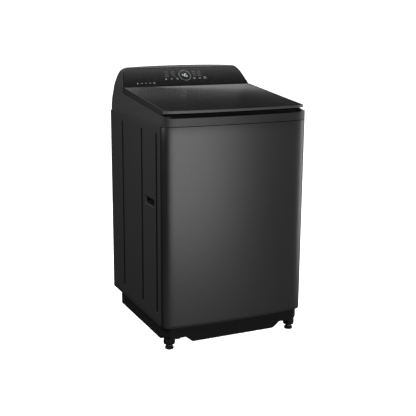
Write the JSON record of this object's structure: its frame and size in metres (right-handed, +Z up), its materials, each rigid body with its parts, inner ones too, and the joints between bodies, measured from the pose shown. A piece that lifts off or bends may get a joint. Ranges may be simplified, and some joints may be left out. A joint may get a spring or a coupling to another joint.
{
  "type": "top load washing machine",
  "caption": "Upright washing machine with a sloping hinged glass lid, an inclined touch console at the back and a hung tub with a spinning basket and pulsator.",
  "frame": {"origin": "on the floor, under the middle of the bounding box", "axes": "+Z up, -Y is the front with the bowed panel, -X is the left side seen from the front"},
  "size_m": [0.64, 0.642, 1.1095],
  "materials": {
    "cabinet_paint": "satin",
    "front_paint": "satin metallic",
    "zinc_plate": "galvanised",
    "black_plastic": "matte",
    "cover_plastic": "matte",
    "lid_trim": "satin",
    "black_glass": "gloss",
    "rubber": "matte",
    "grey_plastic": "matte",
    "pale_plastic": "matte",
    "bright_steel": "brushed",
    "cast_aluminium": "cast",
    "board": "matte"
  },
  "bodies": {
    "cabinet": {"left_side_panel": "cabinet_paint", "right_side_panel": "cabinet_paint", "front_panel": "front_paint", "back_panel": "zinc_plate", "handle_left": "black_plastic", "handle_right": "black_plastic", "base_frame": "black_plastic", "top_cover": "cover_plastic", "console_face": "black_glass", "console_rear_cover": "cover_plastic", "control_board": "board", "pressure_sensor": "grey_plastic", "lid_bumper_left": "rubber", "lid_bumper_right": "rubber", "lid_lock": "black_plastic", "dispenser_housing": "grey_plastic", "corner_bracket_front_left": "zinc_plate", "corner_bracket_front_right": "zinc_plate", "corner_bracket_rear_left": "zinc_plate", "corner_bracket_rear_right": "zinc_plate", "suspension_rod_front_left": "bright_steel", "suspension_rod_front_right": "bright_steel", "suspension_rod_rear_left": "bright_steel", "suspension_rod_rear_right": "bright_steel", "drain_hose": "grey_plastic", "drain_outlet": "grey_plastic", "inlet_valve_cold": "grey_plastic", "inlet_valve_hot": "grey_plastic", "cord_gland": "rubber"},
    "lid": {"lid_frame": "lid_trim", "lid_glass": "black_glass", "lid_hinge_pin_left": "bright_steel", "lid_hinge_pin_right": "bright_steel"},
    "lock_bolt": {"lid_lock_bolt": "grey_plastic"},
    "drawer": {"dispenser_drawer": "pale_plastic"},
    "tub": {"tub": "pale_plastic", "tub_cover": "grey_plastic", "gearbox": "cast_aluminium", "motor": "zinc_plate", "drive_belt": "rubber", "drain_pump": "grey_plastic", "sump_hose": "rubber", "suspension_spring_front_left": "bright_steel", "suspension_spring_front_right": "bright_steel", "suspension_spring_rear_left": "bright_steel", "suspension_spring_rear_right": "bright_steel"},
    "basket": {"basket": "bright_steel", "balance_ring": "grey_plastic", "basket_hub": "cast_aluminium"},
    "agitator": {"pulsator": "grey_plastic", "pulsator_cap": "bright_steel", "drive_shaft": "bright_steel", "drive_pulley": "cast_aluminium"},
    "motor_rotor": {"motor_pulley": "bright_steel"},
    "pump_rotor": {"pump_impeller": "pale_plastic"},
    "foot_front_left": {"foot_front_left": "rubber"},
    "foot_front_right": {"foot_front_right": "rubber"},
    "foot_rear_left": {"foot_rear_left": "rubber"},
    "foot_rear_right": {"foot_rear_right": "rubber"}
  },
  "joints": [
    {"name": "lid_hinge", "type": "hinge", "parent": "cabinet", "child": "lid", "pos_m": [0, 0.1749, 1.0155], "axis": [-1, 0, 0], "range_deg": [0, 95]},
    {"name": "tub_suspension", "type": "slide", "parent": "cabinet", "child": "tub", "axis": [0, 0, 1], "range_m": [-0.025, 0.012], "stiffness_N_per_m": 20000, "springref_m": 0.019, "deforming": ["suspension_spring_front_left", "suspension_spring_front_right", "suspension_spring_rear_left", "suspension_spring_rear_right"]},
    {"name": "basket_spin", "type": "hinge", "parent": "tub", "child": "basket", "pos_m": [0, -0.0046, 0.55], "axis": [0, 0, 1], "continuous": true},
    {"name": "pulsator_spin", "type": "hinge", "parent": "tub", "child": "agitator", "pos_m": [0, -0.0046, 0.3], "axis": [0, 0, 1], "continuous": true},
    {"name": "motor_spin", "type": "hinge", "parent": "tub", "child": "motor_rotor", "pos_m": [0.15274, 0.08285, 0.14], "axis": [0, 0, 1], "continuous": true},
    {"name": "pump_spin", "type": "hinge", "parent": "tub", "child": "pump_rotor", "pos_m": [-0.15, -0.11, 0.155], "axis": [0, 0, 1], "continuous": true},
    {"name": "drawer_slide", "type": "slide", "parent": "cabinet", "child": "drawer", "axis": [0, -1, 0], "range_m": [0, 0.06]},
    {"name": "lock_bolt_slide", "type": "slide", "parent": "cabinet", "child": "lock_bolt", "axis": [-1, 0, 0], "range_m": [0, 0.011]},
    {"name": "foot_front_left_screw", "type": "slide", "parent": "cabinet", "child": "foot_front_left", "axis": [0, 0, 1], "range_m": [-0.015, 0]},
    {"name": "foot_front_right_screw", "type": "slide", "parent": "cabinet", "child": "foot_front_right", "axis": [0, 0, 1], "range_m": [-0.015, 0]},
    {"name": "foot_rear_left_screw", "type": "slide", "parent": "cabinet", "child": "foot_rear_left", "axis": [0, 0, 1], "range_m": [-0.015, 0]},
    {"name": "foot_rear_right_screw", "type": "slide", "parent": "cabinet", "child": "foot_rear_right", "axis": [0, 0, 1], "range_m": [-0.015, 0]}
  ],
  "couplings": [
    {"joint": "motor_spin", "follows": "pulsator_spin", "ratio": 4}
  ]
}
